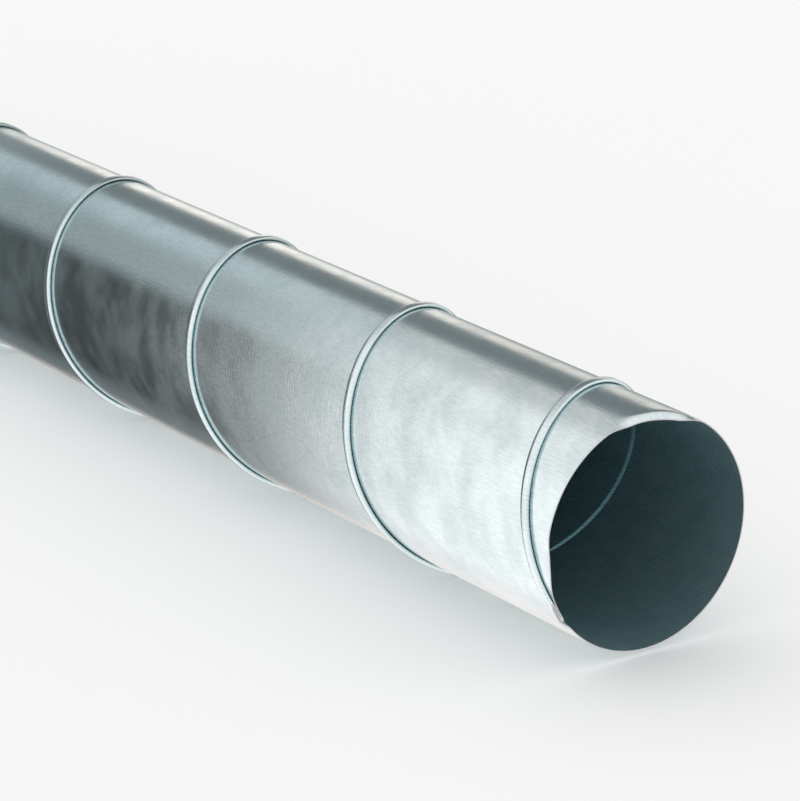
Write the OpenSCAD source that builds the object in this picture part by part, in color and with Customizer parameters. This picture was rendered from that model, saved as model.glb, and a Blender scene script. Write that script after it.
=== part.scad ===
// Round spiral duct: one galvanised strip wound into a tube and lock-seamed to itself.
// It lies on the floor along X. The end at +X is the one that the seam's angle is given at.

/* [Duct] */
// Nominal diameter, which is the clear inside diameter
nominal_diameter = 100; // [80:1:125]
// Thickness of the galvanised strip
sheet = 0.5; // [0.4:0.05:0.8]
// Cut length of the duct
duct_length = 1000; // [500:50:2000]
// Bevel that takes the burr off the inner edge at both ends
deburr = 0.2; // [0.1:0.05:0.3]

/* [Lock seam] */
// Distance along the duct from one turn of the seam to the next
pitch = 128; // [100:1:140]
// Width across the seam, from the folded edge to the start of the ramp
seam_width = 7; // [6:0.5:9]
// Part of the seam's width that is the ramp up onto the ridge
ramp_width = 3.2; // [2:0.2:4]
// Height of the ridge over the duct's outside: three folded plies and their gaps
seam_height = 1.9; // [1.5:0.1:2.4]
// Depth of the crevice that runs under the folded edge
crevice_depth = 0.5; // [0.4:0.1:0.8]
// Angle at which the folded edge runs out at the +X end, from the bottom towards +Y
seam_exit_angle = 293; // [0:1:359]

/* [Hidden] */
galvanised = [0.62, 0.68, 0.70];

bore_radius = nominal_diameter / 2;
wall_radius = bore_radius + sheet;
crest_radius = wall_radius + seam_height;

// How finely the round forms are drawn
steps_per_turn = 84;
bore_sides = 360;
bevel_facets = 144;

// The seam crosses the duct at the helix angle, so its section is longer along the axis
helix_angle = atan(pitch / (2 * PI * wall_radius));
function along_axis(width) = width / cos(helix_angle);

// Section of the seam: [distance along the axis from the folded edge, height over the wall].
// The ramp rises on the far side, the ridge is flat, and the folded edge is a half-round nose
// that stands on the next turn of strip with a crevice under it.
nose_radius = seam_height / 2;
nose = [for (turn = [90, 45, 0, -45])
    [along_axis(nose_radius * (cos(turn) - 1)), nose_radius * (1 + sin(turn))]];
seam_section = concat(
    [[-along_axis(seam_width), 0], [-along_axis(seam_width - ramp_width), seam_height]],
    nose,
    [[-along_axis(crevice_depth), 0]]
);
section_points = len(seam_section);

// The winding runs one turn past both ends, and the duct is cut off it square
step_angle = 360 / steps_per_turn;
start_angle = step_angle * floor((seam_exit_angle - 360 * (1 + duct_length / pitch)) / step_angle);
end_angle = step_angle * ceil((seam_exit_angle + 360) / step_angle) + 2 * step_angle;
steps = round((end_angle - start_angle) / step_angle);

// Place of the folded edge at one angle, measured from the -X end
function edge_place(angle) = duct_length + pitch * (angle - seam_exit_angle) / 360;

function seam_point(i, p) =
    let (
        angle = start_angle + i * step_angle,
        radius = wall_radius + seam_section[p][1],
        height = edge_place(angle) + seam_section[p][0]
    )
    [radius * cos(angle), radius * sin(angle), height];

function at(i, p) = i * section_points + p;

// The outside of the winding: a closed body with a point on the axis past each end
module winding() {
    last = section_points - 1;
    low_tip = (steps + 1) * section_points;
    high_tip = low_tip + 1;
    points = concat(
        [for (i = [0:steps]) for (p = [0:last]) seam_point(i, p)],
        [[0, 0, edge_place(start_angle) - pitch], [0, 0, edge_place(end_angle) + pitch]]
    );
    seam = [for (i = [0:steps - 1]) for (p = [0:last - 1])
        [at(i, p), at(i, p + 1), at(i + 1, p + 1), at(i + 1, p)]];
    plain_wall = [for (i = [0:steps - steps_per_turn - 1])
        [at(i, last), at(i + steps_per_turn, 0), at(i + 1 + steps_per_turn, 0), at(i + 1, last)]];
    low_end = concat(
        [for (i = [0:steps_per_turn - 1]) [at(i, 0), at(i + 1, 0), low_tip]],
        [for (p = [0:last - 1]) [at(0, p + 1), at(0, p), low_tip]],
        [[at(steps_per_turn, 0), at(0, last), low_tip]]
    );
    high_end = concat(
        [for (i = [steps - steps_per_turn:steps - 1]) [at(i + 1, last), at(i, last), high_tip]],
        [for (p = [0:last - 1]) [at(steps, p), at(steps, p + 1), high_tip]],
        [[at(steps - steps_per_turn, last), at(steps, 0), high_tip]]
    );
    polyhedron(points = points, faces = concat(seam, plain_wall, low_end, high_end), convexity = 10);
}

// What deburring takes off an upper end at Z = 0: a cone on its tip
module deburring_cone() {
    proud = 1;
    radius = bore_radius + deburr + proud;
    rim = [for (i = [0:bevel_facets - 1]) let (angle = i * 360 / bevel_facets)
        [radius * cos(angle), radius * sin(angle), proud]];
    polyhedron(
        points = concat(rim, [[0, 0, proud - radius]]),
        faces = concat(
            [[for (i = [bevel_facets - 1:-1:0]) i]],
            [for (i = [0:bevel_facets - 1]) [i, (i + 1) % bevel_facets, bevel_facets]]
        )
    );
}

// The duct stands on its -X end here, along Z
module upright_duct() {
    blank = 2.2 * crest_radius;
    difference() {
        intersection() {
            winding();
            translate([-blank / 2, -blank / 2, 0]) cube([blank, blank, duct_length]);
        }
        translate([0, 0, -1]) cylinder(h = duct_length + 2, r = bore_radius, $fn = bore_sides);
        translate([0, 0, duct_length]) deburring_cone();
        mirror([0, 0, 1]) deburring_cone();
    }
}

module spiral_duct() {
    color(galvanised)
        translate([-duct_length / 2, 0, crest_radius])
            rotate([0, 90, 0])
                upright_duct();
}

spiral_duct();
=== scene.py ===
# %% [markdown]
# A round spiral duct. The real one is a single strip of galvanised steel, 0.5 mm thick. A machine
# bends a hook along each edge of the strip, winds it into a tube and presses the hooks together
# into a lock seam that climbs round the duct like the thread of a screw. This script makes that
# strip again: it bends the section, winds it along the helix, cuts both ends square and dents the
# open end, then gives it a galvanised finish and lights it as a small studio would.

# %% Load the measured model
import math

import bmesh
import bpy
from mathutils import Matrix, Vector


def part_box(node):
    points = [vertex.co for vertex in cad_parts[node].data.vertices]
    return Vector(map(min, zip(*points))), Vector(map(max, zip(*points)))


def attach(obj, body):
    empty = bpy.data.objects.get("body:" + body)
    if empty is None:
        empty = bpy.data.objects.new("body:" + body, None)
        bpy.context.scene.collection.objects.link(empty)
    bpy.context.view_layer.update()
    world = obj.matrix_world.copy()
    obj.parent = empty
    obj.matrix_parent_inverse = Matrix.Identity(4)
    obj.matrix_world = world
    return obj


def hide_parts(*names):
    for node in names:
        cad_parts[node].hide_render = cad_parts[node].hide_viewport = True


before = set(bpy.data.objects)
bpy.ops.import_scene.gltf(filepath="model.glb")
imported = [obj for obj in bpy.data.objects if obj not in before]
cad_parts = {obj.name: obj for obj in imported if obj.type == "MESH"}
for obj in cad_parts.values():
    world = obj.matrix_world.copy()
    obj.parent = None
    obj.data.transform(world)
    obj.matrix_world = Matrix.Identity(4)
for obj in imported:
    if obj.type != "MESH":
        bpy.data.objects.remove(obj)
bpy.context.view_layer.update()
low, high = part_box("spiral_duct")
MM = 0.001
print("box of the measured duct, in mm:", [round((b - a) / MM, 2) for a, b in zip(low, high)])

# %% [markdown]
# The camera comes first, because everything else is judged through it. It is a long lens from
# about a metre and a half, so that the duct tapers only a little. Its place is given from the
# middle of the open end, and its direction as a compass angle and a tilt.

# %% Camera
crest_radius = (high.z - low.z) / 2
open_end = high.x
closed_end = low.x
axis_height = (high.z + low.z) / 2
SENSOR_WIDTH = 36.0
PIXELS_ACROSS = 800
FOCAL_PIXELS = 3880.39
CAMERA_FROM_END = Vector((1.1529, -0.9136, 0.5460))
LOOK_AZIMUTH = math.radians(55.491)
LOOK_DOWN = math.radians(18.4535)

camera_data = bpy.data.cameras.new("studio_camera")
camera_data.sensor_fit = "HORIZONTAL"
camera_data.sensor_width = SENSOR_WIDTH
camera_data.lens = FOCAL_PIXELS * SENSOR_WIDTH / PIXELS_ACROSS
camera = bpy.data.objects.new("studio_camera", camera_data)
bpy.context.scene.collection.objects.link(camera)
bpy.context.scene.camera = camera
camera.location = Vector((open_end, 0, axis_height)) + CAMERA_FROM_END
away = Vector((
    math.sin(LOOK_AZIMUTH) * math.cos(LOOK_DOWN),
    -math.cos(LOOK_AZIMUTH) * math.cos(LOOK_DOWN),
    math.sin(LOOK_DOWN),
))
camera.rotation_mode = "QUATERNION"
camera.rotation_quaternion = (-away).to_track_quat("-Z", "Y")
print("camera at", [round(c, 3) for c in camera.location], "lens", round(camera_data.lens, 2))

# %% [markdown]
# The strip's section is what the rolls of the machine leave. It could be typed as a list of
# points, but a bent line says more: go straight, bend through an angle, go straight again. Seen
# from the free edge on the left, the strip runs into its hook, turns back, crosses the whole
# pitch as the duct's wall, climbs a ramp, runs over the top of the seam and folds back under
# itself. The hook of one turn then sits inside the fold of the turn before: four plies, with a
# small gap between each. A short straight piece beside each bend of the wall keeps the bend's
# shading out of the wide, even part.

# %% Sizes of the strip and its seam
BORE_RADIUS = 50 * MM
SHEET = 0.5 * MM
PITCH = 128 * MM
SEAM_EXIT = 293.0
PLIES = 4
RAMP_START = 6.1 * MM
RAMP_SLOPE = 40.0
RAMP_BEND = 1.0 * MM
HOOK = 2.3 * MM
HOOK_PLACE = 3.1 * MM

wall_radius = BORE_RADIUS + SHEET
ply_gap = (crest_radius - BORE_RADIUS - PLIES * SHEET) / (PLIES - 1)
ply_step = SHEET + ply_gap
helix = math.atan(PITCH / (2 * math.pi * wall_radius))
strip_cover = PITCH * math.cos(helix)
turn_length = math.hypot(PITCH, 2 * math.pi * wall_radius)
print(f"gap between plies {ply_gap / MM:.3f} mm, helix {math.degrees(helix):.1f} degrees")


# %% A line that goes straight and bends
class BentLine:
    """The middle of the sheet: its points, its headings and how far along it each point is."""

    def __init__(self, place, heading):
        self.points = [Vector(place)]
        self.headings = [heading]
        self.along = [0.0]

    def step(self, length, turn):
        """Goes on by a length, turning evenly by an angle in degrees on the way."""
        middle = math.radians(self.headings[-1] + turn / 2)
        half = math.radians(turn) / 2
        chord = length if abs(half) < 1e-9 else length * math.sin(half) / half
        self.points.append(self.points[-1] + chord * Vector((math.cos(middle), math.sin(middle))))
        self.headings.append(self.headings[-1] + turn)
        self.along.append(self.along[-1] + length)

    def straight(self, length, pieces=1):
        for _ in range(pieces):
            self.step(length / pieces, 0)

    def bend(self, angle, radius, pieces):
        for _ in range(pieces):
            self.step(abs(math.radians(angle)) * radius / pieces, angle / pieces)


# %% Bend the section
FOLD_PIECES = 6
RAMP_PIECES = 3
WALL_PIECES = 3
SUPPORT = 0.4 * MM

wall_middle = BORE_RADIUS + SHEET / 2
top_middle = crest_radius - SHEET / 2
nose_centre = -(ply_step + SHEET / 2)
slope = math.radians(RAMP_SLOPE)
ramp_rise = top_middle - wall_middle
ramp_straight = (ramp_rise - 2 * RAMP_BEND * (1 - math.cos(slope))) / math.sin(slope)
ramp_run = 2 * RAMP_BEND * math.sin(slope) + ramp_straight * math.cos(slope)

section = BentLine((HOOK - HOOK_PLACE - strip_cover, wall_middle + 2 * ply_step), 180)
section.straight(HOOK)
section.bend(180, ply_step, FOLD_PIECES)
section.straight(SUPPORT)
section.straight(strip_cover + HOOK_PLACE - RAMP_START - 2 * SUPPORT, WALL_PIECES)
section.straight(SUPPORT)
section.bend(RAMP_SLOPE, RAMP_BEND, RAMP_PIECES)
section.straight(ramp_straight)
section.bend(-RAMP_SLOPE, RAMP_BEND, RAMP_PIECES)
section.straight(RAMP_START - ramp_run + nose_centre)
section.bend(-180, ply_step, FOLD_PIECES)
section.straight(HOOK)
strip_width = section.along[-1]
print(f"{len(section.points)} points, strip {strip_width / MM:.1f} mm wide")


# %% Give the line its thickness
def sheet_side(line, offset):
    """The points beside a bent line: the outer face of the sheet, or its inner face."""
    points = []
    for place, heading in zip(line.points, line.headings):
        across = math.radians(heading + 90)
        points.append(place + offset * Vector((math.cos(across), math.sin(across))))
    return points


outer_side = sheet_side(section, SHEET / 2)
inner_side = sheet_side(section, -SHEET / 2)
ring_points = outer_side + inner_side[::-1]
ring_along = section.along + section.along[::-1]
OUTSIDE, INSIDE, CUT_EDGE = 0, 1, 2
last = len(section.points) - 1
ring_faces = [OUTSIDE] * last + [CUT_EDGE] + [INSIDE] * last + [CUT_EDGE]
print(f"{len(ring_points)} points round the section")

# %% [markdown]
# Winding is a sweep along the helix. Blender can do it with a Screw modifier or a curve bevel,
# but both turn the section as they please at the folds. Placing each ring of points by its own
# angle is as short, keeps the section true, and lets every point carry its place on the flat
# strip: how far along it, and how far across. The finish is drawn in those two, so that the
# brushing follows the strip round the duct as it does on the real one.

# %% Wind the strip
STEPS_PER_TURN = 160
SPARE_TURN = 0.08

step_angle = 360 / STEPS_PER_TURN
turns = (open_end - closed_end) / PITCH
first_angle = SEAM_EXIT - 360 * (turns + SPARE_TURN)
last_angle = SEAM_EXIT + 360 * (1 + SPARE_TURN)
wind_steps = math.ceil((last_angle - first_angle) / step_angle)


def on_duct(x, radius, angle):
    """A point on the duct: its place along the axis, its radius, and its angle from the bottom."""
    turn = math.radians(angle)
    return (x, radius * math.sin(turn), axis_height - radius * math.cos(turn))


def wind():
    """The points, faces, face kinds and strip places of the wound strip, longer than the duct."""
    points, places, faces, kinds = [], [], [], []
    count = len(ring_points)
    for i in range(wind_steps + 1):
        angle = first_angle + i * step_angle
        nose_x = open_end + PITCH * (angle - SEAM_EXIT) / 360
        for point, across in zip(ring_points, ring_along):
            points.append(on_duct(nose_x + point.x / math.cos(helix), point.y, angle))
            places.append((turn_length * angle / 360, across, 0.0))
    for i in range(wind_steps):
        for j in range(count):
            near, far = i * count, (i + 1) * count
            after = (j + 1) % count
            faces.append((near + j, far + j, far + after, near + after))
            kinds.append(ring_faces[j])
    return points, places, faces, kinds


wound_points, wound_places, wound_faces, wound_kinds = wind()
duct_mesh = bpy.data.meshes.new("spiral_strip")
duct_mesh.from_pydata(wound_points, [], wound_faces)
duct_mesh.polygons.foreach_set("material_index", wound_kinds)
STRIP_PLACE = "strip_place"
layer = duct_mesh.attributes.new(STRIP_PLACE, "FLOAT_VECTOR", "POINT")
layer.data.foreach_set("vector", [c for place in wound_places for c in place])
print(f"wound {wind_steps} steps, {len(wound_faces)} faces")

# %% [markdown]
# A saw or a slitter cuts the duct square, right through the seam. A plane through the mesh does
# the same, and the cut is then filled, so that the end shows the sheet's true thickness and the
# four plies of the seam. Near the open end a few more planes only add edges, close together,
# because the lip there is bent and a bend needs points to follow it.

# %% Cut the ends square
CLOSE = 1e-7
LIP_RINGS = [0.5, 1.0, 1.5, 2.0, 2.4, 2.8, 3.2, 3.7, 4.4, 5.5, 7.5, 11.0]


def cut_square(bm, x, outward):
    """Cuts the strip off at x, on the side that outward points to, and fills the cut."""
    everything = bm.verts[:] + bm.edges[:] + bm.faces[:]
    bmesh.ops.bisect_plane(
        bm, geom=everything, dist=CLOSE, plane_co=(x, 0, 0), plane_no=(outward, 0, 0),
        clear_outer=True,
    )
    rim = [e for e in bm.edges if e.is_boundary and all(abs(v.co.x - x) < 1e-6 for v in e.verts)]
    filled = bmesh.ops.triangle_fill(bm, edges=rim, use_beauty=True, normal=(outward, 0, 0))
    new_faces = [f for f in filled["geom"] if isinstance(f, bmesh.types.BMFace)]
    for face in new_faces:
        face.material_index = CUT_EDGE
    print(f"cut at {x:+.3f} m: {len(rim)} edges, {len(new_faces)} faces")


def score(bm, distance):
    """Adds a ring of edges at a distance from the open end."""
    x = open_end - distance
    reach = 0.02
    near = [f for f in bm.faces if max(v.co.x for v in f.verts) > open_end - reach]
    edges = {e for f in near for e in f.edges}
    verts = {v for f in near for v in f.verts}
    bmesh.ops.bisect_plane(
        bm, geom=list(verts) + list(edges) + near, dist=CLOSE, plane_co=(x, 0, 0),
        plane_no=(1, 0, 0),
    )


bm = bmesh.new()
bm.from_mesh(duct_mesh)
cut_square(bm, open_end, 1)
cut_square(bm, closed_end, -1)
for distance in LIP_RINGS:
    score(bm, distance * MM)

# %% [markdown]
# The open end has been knocked. Near the top the lip is pressed in over about a sixth of the way
# round, and there is a smaller dent beside the place where the seam runs out. Sculpting would do,
# but a dent that is a formula can be read: how far the edge has moved in at each angle, times how
# much of that is left at each distance from the end.

# %% Dent the lip
LIP = 2.9 * MM
LIP_ROUNDING = 0.3


def smooth(value, start, end):
    """Goes smoothly from 0 at start to 1 at end."""
    t = min(max((value - start) / (end - start), 0), 1)
    return t * t * (3 - 2 * t)


def pressed_in(angle):
    """How far the edge stands inside its circle, by the angle from the bottom."""
    top_dent = (2.0 + 0.8 * smooth(angle, 191, 169)) * smooth(angle, 145, 163) * smooth(angle, 205, 190)
    seam_dent = 1.3 * smooth(angle, 258, 273) * smooth(angle, 292, 276)
    return (top_dent + seam_dent) * MM


def share_left(distance):
    """How much of the dent is left at a distance from the end, with a rounded crease."""
    past = 1 - distance / LIP
    return (past + math.hypot(past, LIP_ROUNDING)) / (1 + math.hypot(1, LIP_ROUNDING))


DENT_REACH = 12 * MM
moved = 0
for vert in bm.verts:
    distance = open_end - vert.co.x
    if distance > DENT_REACH:
        continue
    angle = math.degrees(math.atan2(vert.co.y, axis_height - vert.co.z)) % 360
    fade = smooth(distance, DENT_REACH, DENT_REACH / 2)
    inward = pressed_in(angle) * share_left(distance) * fade
    if inward > 0:
        radius = math.hypot(vert.co.y, vert.co.z - axis_height)
        vert.co = on_duct(vert.co.x, radius - inward, angle)
        moved += 1
bmesh.ops.recalc_face_normals(bm, faces=bm.faces[:])
bm.to_mesh(duct_mesh)
bm.free()
print(f"{moved} points moved in the dents, {len(duct_mesh.polygons)} faces")

# %% Make the duct a piece of the frame
SHARP_ANGLE = math.radians(40)
duct = bpy.data.objects.new("spiral_duct_strip", duct_mesh)
bpy.context.scene.collection.objects.link(duct)
duct_mesh.shade_smooth()
duct_mesh.set_sharp_from_angle(angle=SHARP_ANGLE)
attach(duct, "root")
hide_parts("spiral_duct")
triangles = sum(len(p.vertices) - 2 for p in duct_mesh.polygons)
print(f"{triangles} triangles")

# %% [markdown]
# A finish is a sum of layers, and sums read best as sums. The small class below wraps an output
# of a shader node, so that ordinary arithmetic adds the Math nodes. Every other kind of node
# comes from its one maker, which takes the kind, the settings and the inputs.


# %% Shader arithmetic
# A Mix node has sockets for every kind of value. These are its colour ones.
COLOUR_A, COLOUR_B, COLOUR_RESULT = 6, 7, 2


class Layer:
    """The output of a shader node, which can be added, multiplied and so on."""

    def __init__(self, tree, output):
        self.tree = tree
        self.output = output

    @classmethod
    def make(cls, tree, kind, settings=None, inputs=None, output=0):
        """Adds a node: its settings first, then the values or links of its inputs."""
        node = tree.nodes.new(kind)
        for name, value in (settings or {}).items():
            setattr(node, name, value)
        for name, value in (inputs or {}).items():
            if isinstance(value, Layer):
                tree.links.new(value.output, node.inputs[name])
            else:
                node.inputs[name].default_value = value
        return cls(tree, node.outputs[output])

    def sum_of(self, operation, first, second):
        return Layer.make(self.tree, "ShaderNodeMath", {"operation": operation}, {0: first, 1: second})

    def __add__(self, other):
        return self.sum_of("ADD", self, other)

    def __radd__(self, other):
        return self.sum_of("ADD", other, self)

    def __sub__(self, other):
        return self.sum_of("SUBTRACT", self, other)

    def __rsub__(self, other):
        return self.sum_of("SUBTRACT", other, self)

    def __mul__(self, other):
        return self.sum_of("MULTIPLY", self, other)

    def __rmul__(self, other):
        return self.sum_of("MULTIPLY", other, self)

    def __truediv__(self, other):
        return self.sum_of("DIVIDE", self, other)

    def ramp(self, start, end, low_value=0.0, high_value=1.0):
        """Goes smoothly from one value to another as this layer goes from start to end."""
        return Layer.make(
            self.tree, "ShaderNodeMapRange", {"interpolation_type": "SMOOTHSTEP"},
            {
                "Value": self, "From Min": start, "From Max": end,
                "To Min": low_value, "To Max": high_value,
            },
        )

    def between(self, first, second):
        """Goes from one colour to another as this layer goes from 0 to 1."""
        return Layer.make(
            self.tree, "ShaderNodeMix", {"data_type": "RGBA"},
            {0: self, COLOUR_A: first, COLOUR_B: second}, COLOUR_RESULT,
        )


def new_finish(name):
    """A new material with an empty node tree."""
    finish = bpy.data.materials.new(name)
    finish.use_nodes = True
    finish.node_tree.nodes.clear()
    return finish, finish.node_tree


def show(tree, shader):
    """Sends a shader to the material's surface."""
    end = tree.nodes.new("ShaderNodeOutputMaterial")
    tree.links.new(shader.output, end.inputs["Surface"])


# %% [markdown]
# Galvanised strip isn't plain grey. The zinc is rubbed by every roll it passes, along the strip
# and across it, which leaves a fine cross-hatch of short streaks. It is also cloudy, with soft
# patches that are a little brighter or duller. Streaks are noise that is stretched one way, in
# the strip's own two directions. They go into the bump, where they break up the reflections, and
# only faintly into the colour.

# %% Places on the strip
STREAK_DETAIL = 2.0


def strip_directions(tree):
    """How far along the strip and how far across it a point is, in metres."""
    place = Layer.make(tree, "ShaderNodeAttribute", {"attribute_name": STRIP_PLACE}, output="Vector")
    along = Layer.make(tree, "ShaderNodeSeparateXYZ", inputs={0: place}, output="X")
    across = Layer.make(tree, "ShaderNodeSeparateXYZ", inputs={0: place}, output="Y")
    return along, across


def streaks(tree, along, across, length, width, seed):
    """Noise with a grain of a length and a width, given along and across, in metres."""
    stretched = Layer.make(
        tree, "ShaderNodeCombineXYZ", inputs={0: along / length, 1: across / width, 2: seed},
    )
    return Layer.make(
        tree, "ShaderNodeTexNoise", {"noise_dimensions": "3D"},
        {"Vector": stretched, "Scale": 1.0, "Detail": STREAK_DETAIL, "Roughness": 0.6}, "Fac",
    )


# %% Outside finish
ZINC = (0.62, 0.73, 0.74, 1)
ZINC_DULL = (0.49, 0.61, 0.63, 1)
HATCH_DEPTH = 0.05 * MM


def outside_finish():
    finish, tree = new_finish("galvanised_outside")
    along, across = strip_directions(tree)
    with_strip = streaks(tree, along, across, 6 * MM, 0.9 * MM, 1.0)
    over_strip = streaks(tree, across, along, 6 * MM, 0.9 * MM, 2.0)
    clouds = streaks(tree, along, across, 28 * MM, 18 * MM, 3.0)
    hatch = with_strip * 0.35 + over_strip * 0.65
    dull = clouds.ramp(0.35, 0.65) * 0.5 + over_strip.ramp(0.4, 0.62) * 0.5
    colour = dull.between(ZINC, ZINC_DULL)
    bump = Layer.make(
        tree, "ShaderNodeBump", inputs={"Height": hatch, "Strength": 1.0, "Distance": HATCH_DEPTH},
    )
    shader = Layer.make(
        tree, "ShaderNodeBsdfPrincipled",
        inputs={
            "Base Color": colour, "Metallic": 1.0,
            "Roughness": 0.15 + 0.06 * clouds.ramp(0.35, 0.65), "Normal": bump,
        },
    )
    show(tree, shader)
    return finish


# %% [markdown]
# Inside, the light has to bounce from wall to wall, and each bounce takes a little more red than
# blue, so the depth of the duct goes a dark blue-green by itself. The strip's inner face also has
# very fine ribs, 1.45 mm apart, at about 45 degrees to the strip, pressed in by the rolls that
# drive it. They are a wave in the bump, and in the colour too: the crests are rubbed bright and
# the grooves stay dull, and this stripe of colour is also painted shade in the grooves and a
# painted highlight on the crests, so that the ribs show whatever light falls on them. This face is
# duller than the outside, so a small part of it scatters light like paint, which is what shows in
# the mouth of the duct.

# %% Inside finish
RIB_SPACING = 1.45 * MM
RIB_ANGLE = math.radians(-45)
RIB_DEPTH = 0.05 * MM
INSIDE_METAL = 0.86
INSIDE_ZINC = (0.56, 0.75, 0.78, 1)
# The second inside colour is dull zinc, and in the rib grooves it also stands for painted shade.
INSIDE_DULL_AND_SHADED = (0.26, 0.44, 0.48, 1)


def inside_finish():
    finish, tree = new_finish("galvanised_inside")
    along, across = strip_directions(tree)
    over_ribs = along * math.cos(RIB_ANGLE) + across * math.sin(RIB_ANGLE)
    wave = Layer.make(
        tree, "ShaderNodeMath", {"operation": "SINE"}, {0: over_ribs * (2 * math.pi / RIB_SPACING)},
    )
    uneven = streaks(tree, along, across, 12 * MM, 12 * MM, 4.0)
    height = wave * uneven.ramp(0.3, 0.7, 0.4, 1.0)
    bump = Layer.make(
        tree, "ShaderNodeBump", inputs={"Height": height, "Strength": 1.0, "Distance": RIB_DEPTH},
    )
    # Grooves go darker and crests lighter in the colour: partly rubbed wear, partly painted shade in the
    # grooves and a painted highlight on the crests.
    groove_wear_and_shade = 0.5 - wave * 0.4
    colour = (groove_wear_and_shade * 0.8 + uneven.ramp(0.3, 0.7) * 0.2).between(INSIDE_ZINC, INSIDE_DULL_AND_SHADED)
    shader = Layer.make(
        tree, "ShaderNodeBsdfPrincipled",
        inputs={
            "Base Color": colour, "Metallic": INSIDE_METAL, "Roughness": 0.35, "Normal": bump,
        },
    )
    show(tree, shader)
    return finish


# %% Cut edge finish
BARE_STEEL = (0.52, 0.54, 0.55, 1)
BARE_STEEL_DULL = (0.36, 0.39, 0.41, 1)


def cut_finish():
    finish, tree = new_finish("cut_steel")
    along, across = strip_directions(tree)
    grain = streaks(tree, along, across, 0.6 * MM, 0.2 * MM, 5.0)
    colour = grain.between(BARE_STEEL, BARE_STEEL_DULL)
    shader = Layer.make(
        tree, "ShaderNodeBsdfPrincipled",
        inputs={"Base Color": colour, "Metallic": 1.0, "Roughness": 0.45},
    )
    show(tree, shader)
    return finish


for finish in (outside_finish(), inside_finish(), cut_finish()):
    duct_mesh.materials.append(finish)
print("finishes:", [m.name for m in duct_mesh.materials])

# %% [markdown]
# Bare metal shows nothing but what it reflects, so lighting it means placing what it will see.
# A photographer puts a tent of white and grey cloths round a duct. Separate panels would do, but
# their edges would show as hard lines in the metal. Here the tent is one curved sheet about the
# duct's own axis, and its cloths are steps in its shader: each starts at an angle, measured from
# +Y over the top, and takes over from the one before across a soft edge. Each has one light for
# the far end and one for the near end, because the duct is darker where it runs away. Well behind
# the duct they all turn into one grey back, and past its open end into one bright front. Only
# reflections see the tent. The floor has its own even light.

# %% Floor and even light
scene = bpy.context.scene
scene.view_settings.view_transform = "Standard"
scene.cycles.max_bounces = 24
scene.cycles.glossy_bounces = 16

FLOOR_REACH = 30.0
floor_mesh = bpy.data.meshes.new("pale_floor")
corners = [(-FLOOR_REACH, -FLOOR_REACH, 0), (FLOOR_REACH, -FLOOR_REACH, 0),
           (FLOOR_REACH, FLOOR_REACH, 0), (-FLOOR_REACH, FLOOR_REACH, 0)]
floor_mesh.from_pydata(corners, [], [(0, 1, 2, 3)])
floor = bpy.data.objects.new("pale_floor", floor_mesh)
scene.collection.objects.link(floor)
floor.visible_glossy = False
floor_paint, floor_tree = new_finish("pale_floor")
show(floor_tree, Layer.make(floor_tree, "ShaderNodeBsdfDiffuse", inputs={"Color": (0.95, 0.95, 0.95, 1)}))
floor_mesh.materials.append(floor_paint)

world = bpy.data.worlds.new("even_light")
scene.world = world
world.use_nodes = True
sky = world.node_tree.nodes["Background"]
sky.inputs["Color"].default_value = (1, 1, 1, 1)
sky.inputs["Strength"].default_value = 0.99
world.cycles_visibility.glossy = False

# %% Helpers for cloths of light
HIDDEN_FROM = ("camera", "diffuse", "transmission", "shadow", "volume_scatter")


def hang(name, mesh):
    """Hangs a cloth that only reflections see, and returns the tree of its empty finish."""
    cloth = bpy.data.objects.new(name, mesh)
    scene.collection.objects.link(cloth)
    for ray in HIDDEN_FROM:
        setattr(cloth, "visible_" + ray, False)
    finish, tree = new_finish(name)
    finish.cycles.emission_sampling = "NONE"
    mesh.materials.append(finish)
    return tree


def glow(tree, colour, strength):
    """Light of one colour and one strength."""
    return Layer.make(
        tree, "ShaderNodeEmission", inputs={"Color": (*colour, 1), "Strength": strength},
    )


def blend(tree, share, first, second):
    """The first shader where the share is 0, and the second where it is 1."""
    return Layer.make(tree, "ShaderNodeMixShader", inputs={0: share, 1: first, 2: second})


# %% Shape of the tent
TENT_RADIUS = 0.8
TENT_REACH = 2.4
TENT_START = -30
TENT_STEP = 5
TENT_ANGLE = "tent_angle"

tent_points, tent_angles, tent_faces = [], [], []
for angle in range(TENT_START, TENT_START + 361, TENT_STEP):
    turn = math.radians(angle)
    y = TENT_RADIUS * math.cos(turn)
    z = axis_height + TENT_RADIUS * math.sin(turn)
    tent_points += [(-TENT_REACH, y, z), (TENT_REACH, y, z)]
    tent_angles += [angle, angle]
for i in range(0, len(tent_points) - 2, 2):
    tent_faces.append((i, i + 1, i + 3, i + 2))
tent_mesh = bpy.data.meshes.new("light_tent")
tent_mesh.from_pydata(tent_points, [], tent_faces)
angle_layer = tent_mesh.attributes.new(TENT_ANGLE, "FLOAT", "POINT")
angle_layer.data.foreach_set("value", tent_angles)
print(f"tent of {len(tent_faces)} faces")

# %% Cloths of the tent
FAR_PLACE = -0.83
NEAR_PLACE = -0.50
BACK_IS_FULL = -1.5
BACK_STARTS = -1.1
BACK_STRENGTH = 0.5
FRONT_STARTS = 0.1
FRONT_IS_FULL = 0.6
FRONT_STRENGTH = 1.3
COOL = (0.90, 0.97, 1.0)
WARM = (1.0, 0.90, 0.84)
CREAM = (1.0, 0.92, 0.91)

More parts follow.
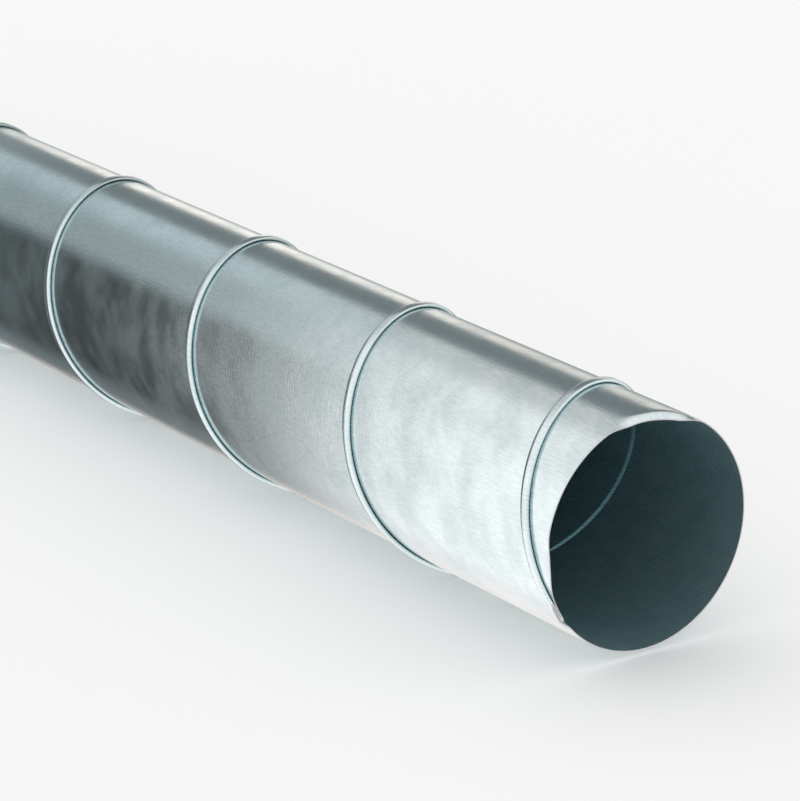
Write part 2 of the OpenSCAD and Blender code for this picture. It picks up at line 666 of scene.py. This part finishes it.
# Where each cloth starts, how soft that edge is, and its light at the far end and the near end.
CLOTHS = {
    "behind_low": (-30, 1, (COOL, 0.50), (COOL, 0.40)),
    "behind_strip": (-1, 2, (WARM, 1.35), (WARM, 0.95)),
    "behind_dark": (20, 3, (COOL, 0.25), (COOL, 0.26)),
    "overhead": (56, 5, (COOL, 0.72), (CREAM, 0.85)),
    "shoulder": (88, 14, (COOL, 0.45), (CREAM, 1.30)),
    "near_side": (135, 12, (COOL, 0.05), (CREAM, 1.50)),
    "below": (262, 16, (COOL, 0.20), (CREAM, 1.20)),
    "low_card": (298, 12, (WARM, 0.65), (WARM, 1.05)),
}
tent_tree = hang("light_tent", tent_mesh)
angle = Layer.make(tent_tree, "ShaderNodeAttribute", {"attribute_name": TENT_ANGLE}, output="Fac")
tent_place = Layer.make(tent_tree, "ShaderNodeTexCoord", output="Object")
along_tent = Layer.make(tent_tree, "ShaderNodeSeparateXYZ", inputs={0: tent_place}, output="X")
nearness = along_tent.ramp(FAR_PLACE, NEAR_PLACE)
tent = None
for start, soft, far, near in CLOTHS.values():
    cloth = blend(tent_tree, nearness, glow(tent_tree, *far), glow(tent_tree, *near))
    past_edge = angle.ramp(start - soft, start + soft)
    tent = blend(tent_tree, past_edge, tent, cloth) if tent else cloth
back_share = along_tent.ramp(BACK_IS_FULL, BACK_STARTS, 1.0, 0.0)
tent = blend(tent_tree, back_share, tent, glow(tent_tree, COOL, BACK_STRENGTH))
front_share = along_tent.ramp(FRONT_STARTS, FRONT_IS_FULL)
tent = blend(tent_tree, front_share, tent, glow(tent_tree, CREAM, FRONT_STRENGTH))
show(tent_tree, tent)
print("cloths:", ", ".join(CLOTHS))

# %% Cloth in front of the open end
FRONT_PLACE = 1.6
FRONT_REACH = 1.3

front_corners = []
for y, z in ((-1, -1), (1, -1), (1, 1), (-1, 1)):
    front_corners.append((FRONT_PLACE, y * FRONT_REACH, axis_height + z * FRONT_REACH))
front_mesh = bpy.data.meshes.new("front_cloth")
front_mesh.from_pydata(front_corners, [], [(0, 1, 2, 3)])
front_tree = hang("front_cloth", front_mesh)
show(front_tree, glow(front_tree, CREAM, FRONT_STRENGTH))
print(f"front cloth {2 * FRONT_REACH} m across")
